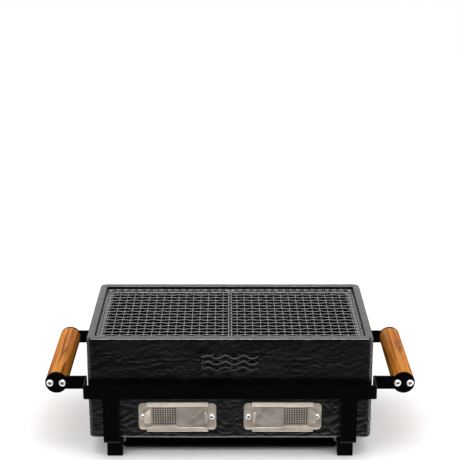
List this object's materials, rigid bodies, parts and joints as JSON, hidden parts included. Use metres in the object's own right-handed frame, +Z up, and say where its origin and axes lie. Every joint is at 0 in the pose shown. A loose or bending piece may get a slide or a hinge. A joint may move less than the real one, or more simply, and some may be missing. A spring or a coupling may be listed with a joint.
{
  "type": "hibachi grill",
  "caption": "Tabletop charcoal hibachi: glazed ceramic firebox with sliding air vents, perforated grates, wire nets, heat shield and a folded steel stand with wooden handles.",
  "frame": {"origin": "centre of the footprint on the table plane", "axes": "+Z up, the vents face -Y, the length and the handles lie along X"},
  "size_m": [0.565, 0.252, 0.194],
  "materials": {
    "black_steel": "satin powder coat",
    "handle_wood": "oiled",
    "screw_steel": "bright",
    "black_glaze": "gloss, orange-peel texture",
    "brushed_stainless": "brushed",
    "grate_iron": "matte",
    "net_wire": "drawn wire"
  },
  "bodies": {
    "stand": {"rail_frame_front": "black_steel", "rail_frame_rear": "black_steel", "base_shelf": "black_steel", "foot_front_left": "black_steel", "foot_front_right": "black_steel", "foot_rear_left": "black_steel", "foot_rear_right": "black_steel", "handle_left": "handle_wood", "handle_right": "handle_wood", "handle_screws_left": "screw_steel", "handle_screws_right": "screw_steel"},
    "heat_shield": {"heat_shield": "black_steel"},
    "firebox": {"firebox": "black_glaze", "vent_frame_left": "brushed_stainless", "vent_frame_right": "brushed_stainless", "vent_screen_left": "brushed_stainless", "vent_screen_right": "brushed_stainless", "vent_screws_left": "screw_steel", "vent_screws_right": "screw_steel"},
    "vent_door_left": {"vent_door_left": "brushed_stainless"},
    "vent_door_right": {"vent_door_right": "brushed_stainless"},
    "grate_left": {"charcoal_grate_left": "grate_iron", "grate_feet_left": "grate_iron"},
    "grate_right": {"charcoal_grate_right": "grate_iron", "grate_feet_right": "grate_iron"},
    "net_left": {"net_rim_left": "net_wire", "net_long_wires_left": "net_wire", "net_cross_wires_left": "net_wire"},
    "net_right": {"net_rim_right": "net_wire", "net_long_wires_right": "net_wire", "net_cross_wires_right": "net_wire"}
  },
  "joints": [
    {"name": "heat_shield_lift", "type": "slide", "parent": "stand", "child": "heat_shield", "axis": [0, 0, 1], "range_m": [0, 0.205]},
    {"name": "firebox_lift", "type": "slide", "parent": "heat_shield", "child": "firebox", "axis": [0, 0, 1], "range_m": [0, 0.07]},
    {"name": "vent_left_slide", "type": "slide", "parent": "firebox", "child": "vent_door_left", "axis": [1, 0, 0], "range_m": [-0.041, 0]},
    {"name": "vent_right_slide", "type": "slide", "parent": "firebox", "child": "vent_door_right", "axis": [-1, 0, 0], "range_m": [-0.041, 0]},
    {"name": "grate_left_lift", "type": "slide", "parent": "firebox", "child": "grate_left", "axis": [0, 0, 1], "range_m": [0, 0.182]},
    {"name": "grate_right_lift", "type": "slide", "parent": "firebox", "child": "grate_right", "axis": [0, 0, 1], "range_m": [0, 0.182]},
    {"name": "net_left_lift", "type": "slide", "parent": "grate_left", "child": "net_left", "axis": [0, 0, 1], "range_m": [0, 0.009]},
    {"name": "net_right_lift", "type": "slide", "parent": "grate_right", "child": "net_right", "axis": [0, 0, 1], "range_m": [0, 0.009]}
  ]
}
